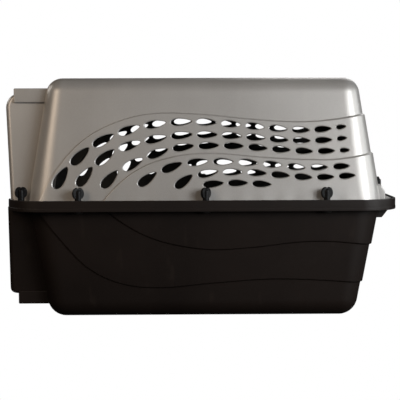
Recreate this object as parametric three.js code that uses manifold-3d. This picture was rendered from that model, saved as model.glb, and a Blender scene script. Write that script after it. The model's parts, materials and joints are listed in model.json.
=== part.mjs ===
// Pet transport carrier: a vented top shell bolted to a deep bottom tub, with a squeeze-latch wire door at
// the front and a carry handle that folds into the roof.
// Millimetres. +X points to the rear, the door faces -X, +Z is up and -Y is the carrier's left side.
// The origin is under the middle of the carrier, on the surface it stands on.
import * as THREE from "three";
import { mergeVertices } from "three/addons/utils/BufferGeometryUtils.js";
import Module from "manifold-3d";

const wasm = await Module();
wasm.setup();

// ---------------------------------------------------------------- driving dimensions
const LENGTH = 613;
const WIDTH = 424;
const HEIGHT = 375.5;
const WALL = 3;
const GAP = 0.3;
// A distance that lies outside every surface.
const BEYOND = 320;

// Seam: the tub's flange and lip, and the top shell's flange that lies inside the lip.
const SEAM_Z = 174;
const FLANGE = 3.2;
const LIP_TOP = 188;
const LIP_WALL = 3;
const RIM_CORNER = 60;
const RIM_FRONT = -300.7;
const RIM_REAR = LENGTH / 2;

// Each half is a tapered box. Its sizes are those of the innermost skin at the seam. For each millimetre away
// from the seam a wall leans in by "taper" and the corner radius shrinks by "tightening".
const TOP = {
  height: HEIGHT - SEAM_Z,
  front: { at: -271.4, taper: 0.168 },
  rear: { at: 279.6, taper: 0.163 },
  side: { at: 187, taper: 0.123 },
  corner: 37,
  tightening: 0.06,
  edge: 26,
};
const TUB = {
  height: SEAM_Z,
  front: { at: -269.4, taper: 0.18 },
  rear: { at: 274.9, taper: 0.171 },
  side: { at: 187, taper: 0.123 },
  corner: 37,
  tightening: 0.06,
  edge: 30,
};
const STEP = 2.5;

// Wavy lines across the side walls, as X and Z. The skin nearer the seam stands one step proud of the next.
const UPPER_WAVE = [
  [-262, 160], [-220, 233], [-180, 278], [-132, 305], [-75, 319],
  [0, 318], [80, 310], [150, 306], [210, 310], [300, 326],
];
const MIDDLE_WAVE = [
  [-175, 150], [-130, 205], [-90, 236], [-40, 253], [20, 258],
  [90, 252], [160, 248], [215, 249], [300, 264],
];
const TUB_WAVE = [
  [-165, 190], [-112, 148], [-60, 123], [10, 110], [80, 113],
  [150, 121], [210, 121], [300, 110],
];
const LOWER_TUB_WAVE = [
  [-262, 190], [-218, 130], [-172, 80], [-120, 55], [-60, 49],
  [20, 56], [110, 62], [200, 59], [300, 50],
];

// Vent rows: a smooth line, the X of the rearmost vent, the number of vents and their pitch at X = 0.
const VENT_ROWS = [
  {
    line: [[-232, 190], [-214, 223], [-185, 255], [-150, 279], [-90, 300], [-20, 307], [50, 303],
      [120, 296], [175, 294], [240, 301]],
    rear: 217.5, vents: 13, pitch: 39.4,
  },
  {
    line: [[-201, 190], [-181, 220], [-150, 251], [-112, 270], [-50, 284], [10, 287], [80, 283],
      [140, 278], [190, 278], [240, 283]],
    rear: 218.6, vents: 12, pitch: 39.4,
  },
  {
    line: [[-164, 190], [-140, 219], [-105, 242], [-66, 259], [-25, 268], [40, 270], [110, 265],
      [170, 261], [240, 263]],
    rear: 222.7, vents: 11, pitch: 39.8,
  },
  {
    line: [[-110, 196], [-84, 218], [-46, 237], [-5, 245], [55, 245], [110, 241], [165, 236], [240, 239]],
    rear: 217.2, vents: 9, pitch: 40.6,
  },
  {
    line: [[-50, 195], [-25, 216], [13, 228], [70, 229], [120, 225], [175, 221], [240, 224]],
    rear: 225.6, vents: 8, pitch: 39.7,
  },
  { line: [[-12, 208], [20, 211.5], [57, 212.7], [94, 211], [120, 209]], rear: 94, vents: 3, pitch: 39.4 },
];
const PITCH_TAPER = 0.028;
const VENT_SIDES = 8;
const SMALL_TAIL = { rows: 3, pitch: 28.5, length: 14.5, width: 5.6, sides: 6 };
const REAR_VENTS = { heights: [288, 228], across: 6, pitch: 42, length: 30, width: 10 };

// Door surround, in the front of both halves.
const SURROUND = {
  back: -230, top: 353, bottom: 35, halfSeam: 152, narrowing: 0.085, corner: 8, wall: 3.5,
  roundAbove: 24, roundBelow: 9,
};
const SURROUND_FACE = { seam: -298.2, lean: 0.05, tub: -303.4 };
const BROW = { front: -292, back: -236, low: 337.5, high: 360, half: 143 };
const DOORSTEP = { front: -289.5, back: -236, low: 19, half: 143 };
const DOORWAY = { half: 118, top: 318, bottom: 70, corner: 8, cutTo: 260 };
const JAMB = { wall: 4, back: -279, socketReach: 30, slotReach: 7.5 };

// Wire door and its squeeze latch.
const DOOR = { x: -289, half: 112.5, top: 313, bottom: 75, frameWire: 5, wire: 3.2, uprights: 8, bars: 5 };
const PIVOT = { x: -289, y: 112.5, reach: 12 };
const SOCKET_PLAY = 0.4;
const LATCH = { x: -297, y: -94, middleZ: 194, width: 26, depth: 12, half: 46, wall: 2, rod: 4.4 };
const LATCH_SLIDE = { near: 20, far: 42, width: 20.8, thumbWidth: 18, thumbOut: 3.6, tipReach: 6 };
const SPRING = { radius: 2.8, wire: 1.1, turns: 5 };

// Carry handle, folded down into its recess in the roof.
const RECESS = { halfX: 104, halfY: 48, depth: 22, wall: 3, corner: 10 };
const HANDLE = { pivotY: 36, gripY: -26, halfX: 88, grip: 20, thick: 13, armWide: 14, belowRoof: 2 };
const HANDLE_PIVOT_Z = HEIGHT - HANDLE.belowRoof - HANDLE.thick / 2;
const PIN = { radius: 3, length: 24, bossWide: 16, bossWall: 3 };

// Wing nuts on carriage bolts, round the flange.
const BOLT = { radius: 3, head: 8, headHeight: 3.4, overSeat: 18.8 };
const NUT = { base: 7, hub: 5.2, height: 29.4, lobeWide: 6.4, lobeTall: 8.8, lobeThick: 5.5, lobeApart: 3.2 };
const SIDE_STATIONS = [
  { x: -187, leftTurn: 30, rightTurn: 100 },
  { x: 8, leftTurn: 42, rightTurn: 140 },
  { x: 193, leftTurn: 15, rightTurn: 70 },
];
const SIDE_Y = 200.5;
const FRONT_STATION = { x: -278.5, y: 170, turn: 12 };
const REAR_STATION = { x: 292.5, y: 78, turn: 80 };

// The grips at the rear: a pad and a block on the top shell's flange, and a block under the tub's flange.
const REAR_PAD = { front: 270, back: 303, half: 140, top: 186 };
const REAR_GRIP = { half: 165, front: 262, out: 289, shoulder: 197, topOut: 283, top: 207.8 };
const UNDER_GRIP = { lowOut: 284, topOut: 295, bottom: 156.7 };
const NUT_NOTCH = { front: 282, half: 15 };

// ---------------------------------------------------------------- solids from three.js geometry
function solid(geometry) {
  const bare = geometry.clone();
  bare.deleteAttribute("normal");
  bare.deleteAttribute("uv");
  const merged = mergeVertices(bare, 1e-4);
  return new wasm.Manifold(
    new wasm.Mesh({
      numProp: 3,
      vertProperties: new Float32Array(merged.attributes.position.array),
      triVerts: new Uint32Array(merged.index.array),
    }),
  );
}

function geometryOf(made) {
  const mesh = made.getMesh();
  const geometry = new THREE.BufferGeometry();
  geometry.setAttribute("position", new THREE.BufferAttribute(mesh.vertProperties, 3));
  geometry.setIndex(new THREE.BufferAttribute(mesh.triVerts, 1));
  const faceted = geometry.toNonIndexed();
  faceted.computeVertexNormals();
  return faceted;
}

const joined = (pieces) => pieces.reduce((all, piece) => all.add(piece));
const cutBy = (body, cutters) => cutters.reduce((left, cutter) => left.subtract(cutter), body);

// A closed solid through a stack of rings that have the same number of points, lowest ring first.
// Each ring runs anticlockwise as seen from above.
function stacked(rings) {
  const count = rings[0].length;
  const position = rings.flat().flatMap((p) => [p.x, p.y, p.z]);
  const index = [];
  for (let level = 0; level + 1 < rings.length; level++) {
    for (let i = 0; i < count; i++) {
      const next = (i + 1) % count;
      const low = level * count;
      const high = low + count;
      index.push(low + i, low + next, high + next, low + i, high + next, high + i);
    }
  }
  const last = (rings.length - 1) * count;
  for (let i = 1; i + 1 < count; i++) {
    index.push(0, i + 1, i, last, last + i, last + i + 1);
  }
  const geometry = new THREE.BufferGeometry();
  geometry.setAttribute("position", new THREE.Float32BufferAttribute(position, 3));
  geometry.setIndex(index);
  return solid(geometry);
}

// A rectangle with rounded corners at height z, as a ring.
function roundedRing(x0, x1, half, radius, z, steps = 4) {
  const ring = [];
  const centres = [
    [x1 - radius, -half + radius, -90],
    [x1 - radius, half - radius, 0],
    [x0 + radius, half - radius, 90],
    [x0 + radius, -half + radius, 180],
  ];
  for (const [cx, cy, start] of centres) {
    for (let i = 0; i <= steps; i++) {
      const angle = THREE.MathUtils.degToRad(start + (90 * i) / steps);
      ring.push(new THREE.Vector3(cx + radius * Math.cos(angle), cy + radius * Math.sin(angle), z));
    }
  }
  return ring;
}

// A block from a low corner to a high corner.
function block(low, high) {
  const geometry = new THREE.BoxGeometry(high[0] - low[0], high[1] - low[1], high[2] - low[2]);
  const [x, y, z] = low.map((value, axis) => (value + high[axis]) / 2);
  return solid(geometry.translate(x, y, z));
}

// A round bar between two points.
function bar(from, to, radius, sides = 10) {
  const start = new THREE.Vector3(...from);
  const along = new THREE.Vector3(...to).sub(start);
  const geometry = new THREE.CylinderGeometry(radius, radius, along.length(), sides);
  const turn = new THREE.Quaternion().setFromUnitVectors(
    new THREE.Vector3(0, 1, 0),
    along.clone().normalize(),
  );
  geometry.applyQuaternion(turn);
  const middle = start.addScaledVector(along, 0.5);
  return solid(geometry.translate(middle.x, middle.y, middle.z));
}

const thickened = (shape, depth, curveSegments) =>
  new THREE.ExtrudeGeometry(shape, { depth, bevelEnabled: false, curveSegments });

// A flat outline in X and Z, made thick along Y from y0 to y1.
function alongY(shape, y0, y1) {
  const geometry = thickened(shape, y1 - y0, 4);
  return solid(geometry.rotateX(Math.PI / 2).translate(0, y1, 0));
}

// A flat outline in Y and Z, made thick along X from x0 to x1.
function alongX(shape, x0, x1) {
  const axes = new THREE.Matrix4().makeBasis(
    new THREE.Vector3(0, 1, 0),
    new THREE.Vector3(0, 0, 1),
    new THREE.Vector3(1, 0, 0),
  );
  return solid(thickened(shape, x1 - x0, 3).applyMatrix4(axes).translate(x0, 0, 0));
}

// A flat outline in X and Y, made thick along Z from z0 to z1.
function alongZ(shape, z0, z1) {
  return solid(thickened(shape, z1 - z0, 3).translate(0, 0, z0));
}

const outline = (points) => new THREE.Shape(points.map(([x, y]) => new THREE.Vector2(x, y)));

function roundedOutline(x0, x1, y0, y1, radius) {
  const shape = new THREE.Shape();
  shape.absarc(x1 - radius, y0 + radius, radius, -Math.PI / 2, 0);
  shape.absarc(x1 - radius, y1 - radius, radius, 0, Math.PI / 2);
  shape.absarc(x0 + radius, y1 - radius, radius, Math.PI / 2, Math.PI);
  shape.absarc(x0 + radius, y0 + radius, radius, Math.PI, 1.5 * Math.PI);
  shape.closePath();
  return shape;
}

// ---------------------------------------------------------------- the two tapered halves
// How far a wall has moved in at a height above the seam, past the round edge as well as along the taper.
function inset(rise, taper, height, edge) {
  const slope = Math.hypot(1, taper);
  const roundFrom = height - edge + (edge * taper) / slope;
  if (rise <= roundFrom) return taper * rise;
  const centre = taper * (height - edge) + edge * slope;
  const up = Math.min(rise - (height - edge), edge);
  return centre - Math.sqrt(edge * edge - up * up);
}

// A tapered half, standing on the seam and growing away from it. "grow" moves every wall out,
// and a negative grow gives the hollow inside.
function taperedHalf(half, grow, towards, startRise = 0) {
  const height = half.height + Math.min(grow, 0);
  const edge = half.edge + Math.min(grow, 0);
  const rises = [startRise];
  const roundSteps = 4;
  for (let i = 0; i <= roundSteps; i++) {
    rises.push(height - edge * (1 - Math.sin((Math.PI / 2) * (0.1 + (0.9 * i) / roundSteps))));
  }
  const rings = rises.map((rise) => {
    const front = inset(rise, half.front.taper, height, edge);
    const rear = inset(rise, half.rear.taper, height, edge);
    const side = inset(rise, half.side.taper, height, edge);
    const turnedIn = side - half.side.taper * rise;
    const corner = half.corner - half.tightening * rise + Math.min(grow, 0) - turnedIn;
    return roundedRing(
      half.front.at + front - grow,
      half.rear.at - rear + grow,
      half.side.at - side + grow,
      Math.max(corner, 3),
      SEAM_Z + towards * rise,
    );
  });
  return stacked(towards > 0 ? rings : rings.reverse());
}

// Everything between a wavy line and the far side of the seam, right across the carrier.
function besideWave(points, seamSide) {
  const wave = new THREE.SplineCurve(points.map(([x, z]) => new THREE.Vector2(x, z)));
  const line = wave.getPoints(26).map((p) => [p.x, p.y]);
  const far = SEAM_Z - seamSide * 60;
  const shape = outline([...line, [points.at(-1)[0], far], [points[0][0], far]]);
  return alongY(shape, -WIDTH, WIDTH);
}

// ---------------------------------------------------------------- vents
// A teardrop with its round end at -x and its point at +x.
function teardrop({ length, width, sides }, angle, x, z) {
  const points = [];
  for (let i = 0; i < sides; i++) {
    const turn = (2 * Math.PI * (i + 0.5)) / sides;
    const along = (length / 2) * Math.cos(turn);
    const across = (width / 2) * Math.sin(turn) * (1.12 - 0.38 * Math.cos(turn));
    points.push([
      x + along * Math.cos(angle) - across * Math.sin(angle),
      z + along * Math.sin(angle) + across * Math.cos(angle),
    ]);
  }
  return outline(points);
}

// Vents are smaller and stand closer together towards the rear, and steep ones are wider.
const ventSize = (x, angle) => ({
  length: 31 - 0.03 * x,
  width: 9.6 - 0.007 * x + 4 * Math.abs(Math.sin(angle)),
  sides: VENT_SIDES,
});

function ventRow(row, hasSmallTail) {
  const line = new THREE.SplineCurve(row.line.map(([x, z]) => new THREE.Vector2(x, z)));
  const points = line.getSpacedPoints(400);
  let at = points.findIndex((p) => p.x >= row.rear);
  const made = [];
  for (let vent = 0; vent < row.vents; vent++) {
    const here = points[at];
    const ahead = points[Math.max(at - 12, 0)];
    const angle = Math.atan2(here.y - ahead.y, here.x - ahead.x);
    const small = hasSmallTail && vent === 0;
    made.push(teardrop(small ? SMALL_TAIL : ventSize(here.x, angle), angle, here.x, here.y));
    const pitch = small ? SMALL_TAIL.pitch : row.pitch - PITCH_TAPER * here.x;
    let walked = 0;
    while (walked < pitch && at > 0) {
      walked += points[at].distanceTo(points[at - 1]);
      at -= 1;
    }
  }
  return made;
}

function sideVents() {
  const holes = VENT_ROWS.flatMap((row, i) => ventRow(row, i < SMALL_TAIL.rows));
  return holes.map((shape) => alongY(shape, -WIDTH / 2, WIDTH / 2));
}

function rearVents() {
  const made = [];
  for (const z of REAR_VENTS.heights) {
    for (let i = 0; i < REAR_VENTS.across; i++) {
      const y = (i - (REAR_VENTS.across - 1) / 2) * REAR_VENTS.pitch;
      const pointing = y < 0 ? Math.PI : 0;
      made.push(alongX(teardrop({ ...REAR_VENTS, sides: VENT_SIDES }, pointing, y, z), 220, BEYOND));
    }
  }
  return made;
}

// ---------------------------------------------------------------- door surround
const surroundHalf = (z) => SURROUND.halfSeam - SURROUND.narrowing * Math.abs(z - SEAM_Z);

// X of the surround's front face at a height. The upper half leans forward, and both far ends round over.
function surroundFront(z) {
  const upper = z > SEAM_Z;
  const face = upper ? SURROUND_FACE.seam - SURROUND_FACE.lean * (z - SEAM_Z) : SURROUND_FACE.tub;
  const round = upper ? SURROUND.roundAbove : SURROUND.roundBelow;
  const toEnd = upper ? SURROUND.top - z : z - SURROUND.bottom;
  const over = Math.max(round - toEnd, 0);
  return face + round - Math.sqrt(round * round - over * over);
}

// The surround between two heights, thinned all round by "shrink" to give the hollow in it.
function surroundBody(from, to, shrink) {
  const rings = [];
  const levels = 10;
  for (let i = 0; i <= levels; i++) {
    const ease = (1 - Math.cos((Math.PI * i) / levels)) / 2;
    const z = from + (to - from) * ease;
    const front = surroundFront(z) + shrink;
    const half = surroundHalf(z) - shrink;
    rings.push(roundedRing(front, SURROUND.back, half, SURROUND.corner - shrink, z, 3));
  }
  return stacked(rings);
}

// Outline of the doorway, wider all round by "grow".
function doorwayOutline(grow) {
  return roundedOutline(
    -DOORWAY.half - grow,
    DOORWAY.half + grow,
    DOORWAY.bottom - grow,
    DOORWAY.top + grow,
    DOORWAY.corner + grow,
  );
}

// The jamb that lines the doorway and holds the ends of the door's rods, as deep as the surround given.
const jamb = (surround) => alongX(doorwayOutline(JAMB.wall), -BEYOND, JAMB.back).intersect(surround);

// Sockets in the jamb for the hinge rod, and keeper slots for the latch rods that are open to the front.
function jambHoles() {
  const socket = DOOR.frameWire / 2 + SOCKET_PLAY;
  const keeper = LATCH.rod / 2 + 2 * SOCKET_PLAY;
  return [
    bar(
      [PIVOT.x, PIVOT.y, DOORWAY.bottom - JAMB.socketReach],
      [PIVOT.x, PIVOT.y, DOORWAY.top + JAMB.socketReach],
      socket,
    ),
    block(
      [-BEYOND, LATCH.y - keeper, DOORWAY.bottom - JAMB.slotReach],
      [LATCH.x + keeper, LATCH.y + keeper, DOORWAY.top + JAMB.slotReach],
    ),
  ];
}

// ---------------------------------------------------------------- flanges
const flangeOutline = (margin) =>
  roundedOutline(
    RIM_FRONT + margin,
    RIM_REAR - margin,
    -WIDTH / 2 + margin,
    WIDTH / 2 - margin,
    RIM_CORNER - margin,
  );

// Places round the flange that take a bolt: name, X, Y, height of the nut's seat and the nut's rest turn.
function boltStations() {
  const seat = SEAM_Z + GAP + FLANGE;
  const stations = [];
  SIDE_STATIONS.forEach(({ x, leftTurn, rightTurn }, i) => {
    stations.push({ name: `left_${i + 1}`, x, y: -SIDE_Y, seat, turn: leftTurn });
    stations.push({ name: `right_${i + 1}`, x, y: SIDE_Y, seat, turn: rightTurn });
  });
  for (const [side, sign] of [["left", -1], ["right", 1]]) {
    const front = FRONT_STATION;
    const rear = REAR_STATION;
    stations.push({ name: `front_${side}`, x: front.x, y: sign * front.y, seat, turn: front.turn });
    stations.push({ name: `rear_${side}`, x: rear.x, y: sign * rear.y, seat: REAR_PAD.top, turn: rear.turn });
  }
  return stations;
}

const boltHoles = () =>
  boltStations().map(({ x, y }) => bar([x, y, SEAM_Z - 30], [x, y, SEAM_Z + 60], BOLT.radius + 0.5));

// Room for the rear nuts and bolt heads in the grip blocks, between two heights.
const rearNotches = (low, high) =>
  [-REAR_STATION.y, REAR_STATION.y].map((y) =>
    block([NUT_NOTCH.front, y - NUT_NOTCH.half, low], [BEYOND, y + NUT_NOTCH.half, high]),
  );

// ---------------------------------------------------------------- top shell
function roofRecess(margin) {
  const shape = roundedOutline(
    -RECESS.halfX - margin,
    RECESS.halfX + margin,
    -RECESS.halfY - margin,
    RECESS.halfY + margin,
    RECESS.corner + margin,
  );
  return alongZ(shape, HEIGHT - RECESS.depth - margin, HEIGHT + (margin > 0 ? -1 : 10));
}

const handlePinHole = (sign, radius) =>
  bar(
    [sign * (HANDLE.halfX - HANDLE.armWide - 3), HANDLE.pivotY, HANDLE_PIVOT_Z],
    [sign * (HANDLE.halfX + PIN.length), HANDLE.pivotY, HANDLE_PIVOT_Z],
    radius,
  );

// Bosses outside the recess's end walls that hold the handle's pins.
function pinBosses() {
  const end = HANDLE.halfX + PIN.length + PIN.bossWall;
  return [[-end, -RECESS.halfX], [RECESS.halfX, end]].map(([x0, x1]) =>
    block(
      [x0, HANDLE.pivotY - PIN.bossWide / 2, HEIGHT - RECESS.depth],
      [x1, HANDLE.pivotY + PIN.bossWide / 2, HEIGHT - 1],
    ),
  );
}

function topShell() {
  const seam = SEAM_Z + GAP;
  const upperBand = taperedHalf(TOP, STEP, 1, GAP).intersect(besideWave(UPPER_WAVE, 1));
  const lowerBand = taperedHalf(TOP, 2 * STEP, 1, GAP).intersect(besideWave(MIDDLE_WAVE, 1));
  const surround = surroundBody(seam, SURROUND.top, 0);
  const flange = alongZ(flangeOutline(LIP_WALL + GAP), seam, seam + FLANGE);
  const pad = block(
    [REAR_PAD.front, -REAR_PAD.half, seam],
    [REAR_PAD.back, REAR_PAD.half, REAR_PAD.top],
  );
  const { half, front, out, shoulder, topOut, top } = REAR_GRIP;
  const gripSide = outline([[front, seam], [out, seam], [out, shoulder], [topOut, top], [front, top]]);
  const grip = cutBy(alongY(gripSide, -half, half), rearNotches(REAR_PAD.top, top + 5));
  const brow = block([BROW.front, -BROW.half, BROW.low], [BROW.back, BROW.half, BROW.high]);
  const skin = joined([taperedHalf(TOP, 0, 1, GAP), upperBand, lowerBand, surround, brow, flange, pad, grip]);
  const hollow = joined([
    taperedHalf(TOP, -WALL, 1, -5),
    surroundBody(seam - 5, SURROUND.top - WALL, SURROUND.wall),
    block(
      [BROW.front + WALL, -BROW.half + WALL, BROW.low + WALL],
      [BROW.back, BROW.half - WALL, BROW.high - WALL],
    ),
  ]);
  const body = joined([skin.subtract(hollow), roofRecess(RECESS.wall), ...pinBosses(), jamb(surround)]);
  return cutBy(body, [
    roofRecess(0),
    alongX(doorwayOutline(0), -BEYOND, -DOORWAY.cutTo),
    ...jambHoles(),
    ...boltHoles(),
    ...sideVents(),
    ...rearVents(),
    handlePinHole(-1, PIN.radius + 0.2),
    handlePinHole(1, PIN.radius + 0.2),
  ]);
}

// ---------------------------------------------------------------- bottom tub
function bottomTub() {
  const upperBand = taperedHalf(TUB, 2 * STEP, -1).intersect(besideWave(TUB_WAVE, -1));
  const lowerBand = taperedHalf(TUB, STEP, -1).intersect(besideWave(LOWER_TUB_WAVE, -1));
  const surround = surroundBody(SURROUND.bottom, SEAM_Z, 0);
  const under = SEAM_Z - FLANGE;
  const plate = alongZ(flangeOutline(0), under, SEAM_Z);
  const besideSurround = SURROUND.halfSeam + GAP;
  const lip = cutBy(alongZ(flangeOutline(0), under, LIP_TOP), [
    alongZ(flangeOutline(LIP_WALL), under - 1, LIP_TOP + 1),
    block([-BEYOND, -besideSurround, SEAM_Z], [JAMB.back, besideSurround, LIP_TOP + 1]),
  ]);
  const { lowOut, topOut, bottom } = UNDER_GRIP;
  const { half, front } = REAR_GRIP;
  const gripSide = outline([
    [front, bottom], [lowOut, bottom], [topOut, under], [topOut, SEAM_Z], [front, SEAM_Z],
  ]);
  const underGrip = cutBy(alongY(gripSide, -half, half), rearNotches(bottom - 5, under));
  const doorstep = block(
    [DOORSTEP.front, -DOORSTEP.half, DOORSTEP.low],
    [DOORSTEP.back, DOORSTEP.half, SURROUND.bottom + 5],
  );
  const skin = joined([
    taperedHalf(TUB, 0, -1),
    upperBand,
    lowerBand,
    surround,
    doorstep,
    plate,
    lip,
    underGrip,
  ]);
  const hollow = joined([
    taperedHalf(TUB, -WALL, -1, -5),
    surroundBody(SURROUND.bottom + WALL, SEAM_Z + 1, SURROUND.wall),
    block(
      [DOORSTEP.front + WALL, -DOORSTEP.half + WALL, DOORSTEP.low + WALL],
      [DOORSTEP.back, DOORSTEP.half - WALL, SURROUND.bottom + 6],
    ),
  ]);
  const body = skin.subtract(hollow).add(jamb(surround));
  return cutBy(body, [alongX(doorwayOutline(0), -BEYOND, -DOORWAY.cutTo), ...jambHoles(), ...boltHoles()]);
}

// ---------------------------------------------------------------- wire door
function wireDoor() {
  const { x, half, top, bottom, frameWire, wire, uprights, bars } = DOOR;
  const front = x - frameWire / 2 + 0.4;
  const back = x + frameWire / 2 - 0.4;
  const pitchY = (2 * half - frameWire + wire) / (uprights + 1);
  const pitchZ = (top - bottom - 2 * frameWire + wire) / (bars + 1);
  const holes = [];
  for (let column = 0; column <= uprights; column++) {
    for (let row = 0; row <= bars; row++) {
      const y = -half + frameWire / 2 + column * pitchY;
      const z = bottom + frameWire + row * pitchZ;
      holes.push(block([front - 1, y, z], [back + 1, y + pitchY - wire, z + pitchZ - wire]));
    }
  }
  const grid = cutBy(block([front, -half - frameWire / 2, bottom], [back, half, top]), holes);
  const rod = bar([x, PIVOT.y, bottom - PIVOT.reach], [x, PIVOT.y, top + PIVOT.reach], frameWire / 2);
  return grid.add(rod);
}

// ---------------------------------------------------------------- squeeze latch
const latchBack = DOOR.x - DOOR.frameWire / 2 - GAP;
const latchFront = latchBack - LATCH.depth + 1;

// A trough, open to the front, with a web across its middle and a hole for a rod in each end.
function latchCase() {
  const { x, y, middleZ, wall } = LATCH;
  const half = LATCH.width / 2;
  const low = middleZ - LATCH.half;
  const high = middleZ + LATCH.half;
  const outside = block([latchFront, y - half, low], [latchBack, y + half, high]);
  const pocket = (from, to) =>
    block([latchFront - 1, y - half + wall, from], [latchBack - wall, y + half - wall, to]);
  return cutBy(outside, [
    pocket(low + wall, middleZ - wall),
    pocket(middleZ + wall, high - wall),
    bar([x, y, low - 1], [x, y, high + 1], LATCH.rod / 2 + SOCKET_PLAY),
  ]);
}

// A thumb piece with its rod. "sign" is 1 for the upper one and -1 for the lower one.
function latchBolt(sign) {
  const { x, y, middleZ } = LATCH;
  const { near, far, width, thumbWidth, thumbOut, tipReach } = LATCH_SLIDE;
  const low = middleZ + Math.min(sign * near, sign * far);
  const high = middleZ + Math.max(sign * near, sign * far);
  const tip = sign > 0 ? DOORWAY.top + tipReach : DOORWAY.bottom - tipReach;
  const slider = block(
    [latchFront + 0.4, y - width / 2, low],
    [latchBack - LATCH.wall - 0.4, y + width / 2, high],
  );
  const thumb = block(
    [latchFront - thumbOut, y - thumbWidth / 2, low + 2],
    [latchFront + 1, y + thumbWidth / 2, high - 2],
  );
  return joined([slider, thumb, bar([x, y, (low + high) / 2], [x, y, tip], LATCH.rod / 2)]);
}

class Helix extends THREE.Curve {
  constructor(centre, radius, height, turns) {
    super();
    Object.assign(this, { centre, radius, height, turns });
  }
  getPoint(t, target = new THREE.Vector3()) {
    const angle = 2 * Math.PI * this.turns * t;
    return target.set(
      this.centre[0] + this.radius * Math.cos(angle),
      this.centre[1] + this.radius * Math.sin(angle),
      this.centre[2] + this.height * t,
    );
  }
}

// A spring between the case's web and a slide, with a gap at each end.
function latchSpring(sign) {
  const end = SPRING.wire / 2 + GAP;
  const near = sign > 0 ? LATCH.wall : -LATCH_SLIDE.near;
  const height = LATCH_SLIDE.near - LATCH.wall - 2 * end;
  const start = [LATCH.x, LATCH.y, LATCH.middleZ + near + end];
  const section = new THREE.Shape();
  section.absarc(0, 0, SPRING.wire / 2, 0, 2 * Math.PI);
  return solid(
    new THREE.ExtrudeGeometry(section, {
      extrudePath: new Helix(start, SPRING.radius - SPRING.wire / 2, height, SPRING.turns),
      steps: SPRING.turns * 8,
      curveSegments: 3,
      bevelEnabled: false,
    }),
  );
}

// ---------------------------------------------------------------- carry handle
// A bail that lies flat in the recess. Its two arms turn on the pins.
function carryHandle() {
  const { pivotY, gripY, halfX, grip, thick, armWide } = HANDLE;
  const low = HANDLE_PIVOT_Z - thick / 2;
  const high = HANDLE_PIVOT_Z + thick / 2;
  const outside = roundedOutline(-halfX, halfX, gripY - grip / 2, pivotY + thick / 2, 8);
  const inside = roundedOutline(-halfX + armWide, halfX - armWide, gripY + grip / 2, pivotY + 40, 6);
  const body = alongZ(outside, low, high).subtract(alongZ(inside, low - 1, high + 1));
  return cutBy(body, [handlePinHole(-1, PIN.radius + 0.25), handlePinHole(1, PIN.radius + 0.25)]);
}

function handlePin(sign) {
  const inner = sign * (HANDLE.halfX - HANDLE.armWide + 1);
  const outer = sign * (HANDLE.halfX + PIN.length - 1);
  return bar([inner, HANDLE.pivotY, HANDLE_PIVOT_Z], [outer, HANDLE.pivotY, HANDLE_PIVOT_Z], PIN.radius);
}

// ---------------------------------------------------------------- wing nuts and bolts
function turned(profile, sides = 8) {
  const points = profile.map(([radius, z]) => new THREE.Vector2(radius, z));
  return solid(new THREE.LatheGeometry(points, sides).rotateX(Math.PI / 2));
}

// A two-lobed nut standing on z = 0.
function wingNut() {
  const { base, hub, height, lobeWide, lobeTall, lobeThick, lobeApart } = NUT;
  const top = height - 3;
  const stem = turned([[0, 0.1], [base, 0.1], [base, 3], [hub, 5], [hub, top - 3], [hub - 2, top], [0, top]]);
  const lobes = [-lobeApart, lobeApart].map((x) => {
    const lobe = new THREE.Shape();
    lobe.absellipse(x, height - lobeTall, lobeWide, lobeTall, 0, 2 * Math.PI);
    return alongY(lobe, -lobeThick / 2, lobeThick / 2);
  });
  const bore = bar([0, 0, -1], [0, 0, BOLT.overSeat + 1], BOLT.radius + 0.35);
  return joined([stem, ...lobes]).subtract(bore);
}

// A carriage bolt whose domed head sits under the tub's flange.
function carriageBolt(seat) {
  const { radius, head, headHeight, overSeat } = BOLT;
  const under = SEAM_Z - FLANGE - GAP;
  const end = seat + overSeat;
  return turned(
    [
      [0, under - headHeight], [head * 0.6, under - headHeight + 0.8], [head, under - 0.8], [head, under],
      [radius, under], [radius, end], [0, end],
    ],
    10,
  );
}

// ---------------------------------------------------------------- the assembly
const colours = {
  shell: { color: 0x96908a, roughness: 0.38, metalness: 0.25 },
  tub: { color: 0x1d1613, roughness: 0.5, metalness: 0 },
  black: { color: 0x0c0c0d, roughness: 0.45, metalness: 0 },
  steel: { color: 0xb9bbbd, roughness: 0.3, metalness: 1 },
};

const carrier = new THREE.Group();
carrier.name = "pet_carrier";

function put(name, made, look, place = {}) {
  const material = new THREE.MeshStandardMaterial(colours[look]);
  const mesh = new THREE.Mesh(geometryOf(made), material);
  mesh.name = name;
  mesh.position.set(place.x ?? 0, place.y ?? 0, place.z ?? 0);
  mesh.rotation.z = THREE.MathUtils.degToRad(place.turn ?? 0);
  carrier.add(mesh);
}

put("top_shell", topShell(), "shell");
put("bottom_tub", bottomTub(), "tub");
put("wire_door", wireDoor(), "steel");
put("latch_case", latchCase(), "black");
put("latch_bolt_upper", latchBolt(1), "black");
put("latch_bolt_lower", latchBolt(-1), "black");
put("latch_spring_upper", latchSpring(1), "steel");
put("latch_spring_lower", latchSpring(-1), "steel");
put("carry_handle", carryHandle(), "black");
put("handle_pin_front", handlePin(-1), "steel");
put("handle_pin_rear", handlePin(1), "steel");
for (const { name, x, y, seat, turn } of boltStations()) {
  put(`wing_nut_${name}`, wingNut(), "black", { x, y, z: seat + GAP, turn });
  put(`bolt_${name}`, carriageBolt(seat), "black", { x, y });
}

export default carrier;
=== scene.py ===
"""Looks of a pet transport carrier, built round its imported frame.

Shapes are made in millimetres and become metres when a piece is finished. +X points to the carrier's
rear, the door faces -X, +Z is up, and the origin is under its middle, on the surface it stands on.
"""

import json
import math

import bmesh
import bpy
import numpy as np
from mathutils import Matrix, Vector


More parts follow.
